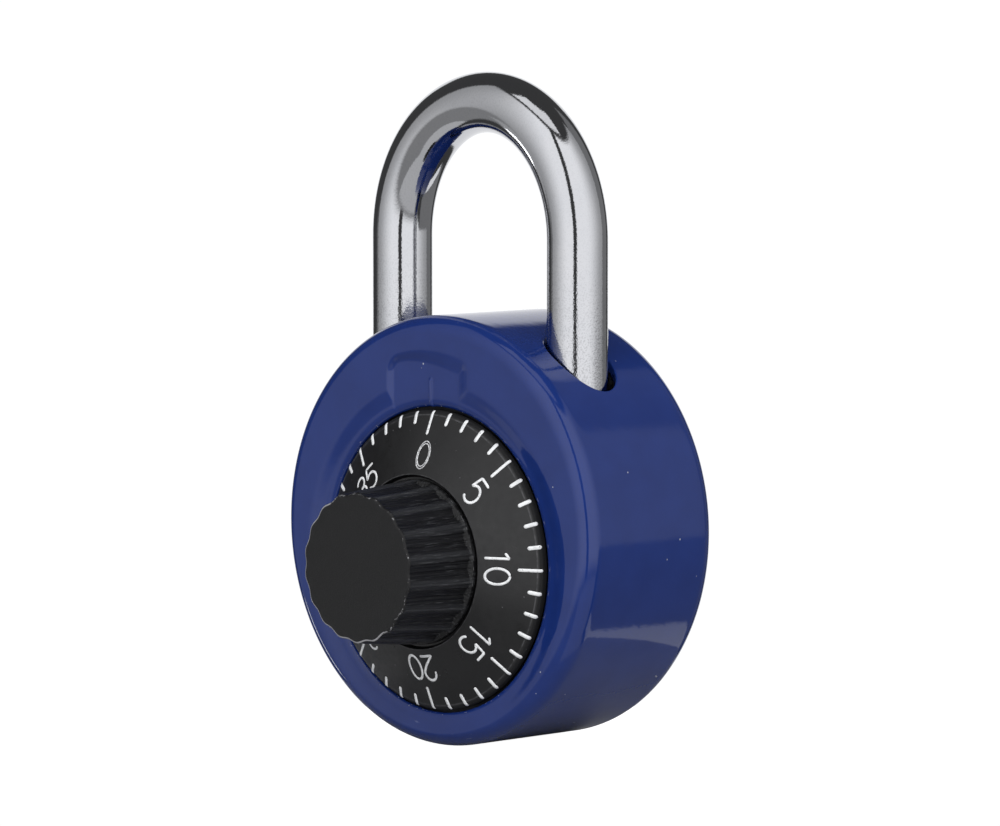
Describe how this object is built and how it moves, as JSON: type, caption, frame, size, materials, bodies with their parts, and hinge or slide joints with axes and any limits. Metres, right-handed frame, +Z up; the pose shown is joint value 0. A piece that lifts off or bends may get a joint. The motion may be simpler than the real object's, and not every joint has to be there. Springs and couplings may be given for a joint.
{
  "type": "combination padlock",
  "caption": "Round-bodied dial combination padlock with a steel shackle that lifts when the discs line up.",
  "frame": {"origin": "centre of the flat panel of the back cover, on the case axis", "axes": "+Y runs along the case axis out of the back; the dial faces -Y; +Z runs up through the shackle"},
  "size_m": [0.048, 0.0328, 0.0749],
  "materials": {
    "case_enamel": "glossy blue enamel on drawn steel",
    "dial_black": "semi-gloss black paint with white marks",
    "knob_black": "black knurled knob",
    "shackle_chrome": "bright plated hardened steel",
    "steel_parts": "zinc-plated steel",
    "brass_parts": "plain brass"
  },
  "bodies": {
    "case": {"outer_case": "case_enamel", "back_cover": "case_enamel", "case_shield": "steel_parts", "inner_case": "steel_parts", "inner_case_cover": "steel_parts", "dial_friction_washer": "steel_parts", "spindle_washer": "brass_parts", "disc_retainer": "steel_parts", "disc_spacer": "brass_parts", "disc_spring": "steel_parts", "spring_seat_washer": "steel_parts", "disc_post": "steel_parts", "lever_post": "steel_parts", "latch_spring": "steel_parts", "lever_spacer": "brass_parts", "fence_spring": "steel_parts"},
    "shackle": {"shackle": "shackle_chrome", "shackle_collar": "steel_parts"},
    "dial": {"dial": "dial_black", "knob": "knob_black", "dial_spindle": "steel_parts", "combination_cam": "steel_parts"},
    "second_disc": {"disc_2": "brass_parts"},
    "first_disc": {"disc_1": "brass_parts"},
    "latch": {"latch_pawl": "steel_parts"},
    "fence": {"fence_lever": "steel_parts"}
  },
  "joints": [
    {"name": "shackle_lift", "type": "slide", "parent": "case", "child": "shackle", "axis": [0, 0, 1], "range_m": [0, 0.01]},
    {"name": "dial_spin", "type": "hinge", "parent": "case", "child": "dial", "pos_m": [0, -0.021, -0.00318], "axis": [0, -1, 0], "continuous": true},
    {"name": "disc_2_spin", "type": "hinge", "parent": "case", "child": "second_disc", "pos_m": [0, -0.013, -0.00318], "axis": [0, -1, 0], "continuous": true},
    {"name": "disc_1_spin", "type": "hinge", "parent": "case", "child": "first_disc", "pos_m": [0, -0.0104, -0.00318], "axis": [0, -1, 0], "continuous": true},
    {"name": "latch_swing", "type": "hinge", "parent": "case", "child": "latch", "pos_m": [-0.0025, -0.0121, 0.0106], "axis": [0, 1, 0], "range_deg": [0, 32]},
    {"name": "fence_swing", "type": "hinge", "parent": "case", "child": "fence", "pos_m": [-0.0025, -0.0094, 0.0106], "axis": [0, 1, 0], "range_deg": [0, 3]}
  ],
  "couplings": [
    {"joint": "disc_2_spin", "follows": "dial_spin", "ratio": 1},
    {"joint": "disc_1_spin", "follows": "dial_spin", "ratio": 1},
    {"joint": "latch_swing", "follows": "shackle_lift", "rad_per_m": 55}
  ]
}
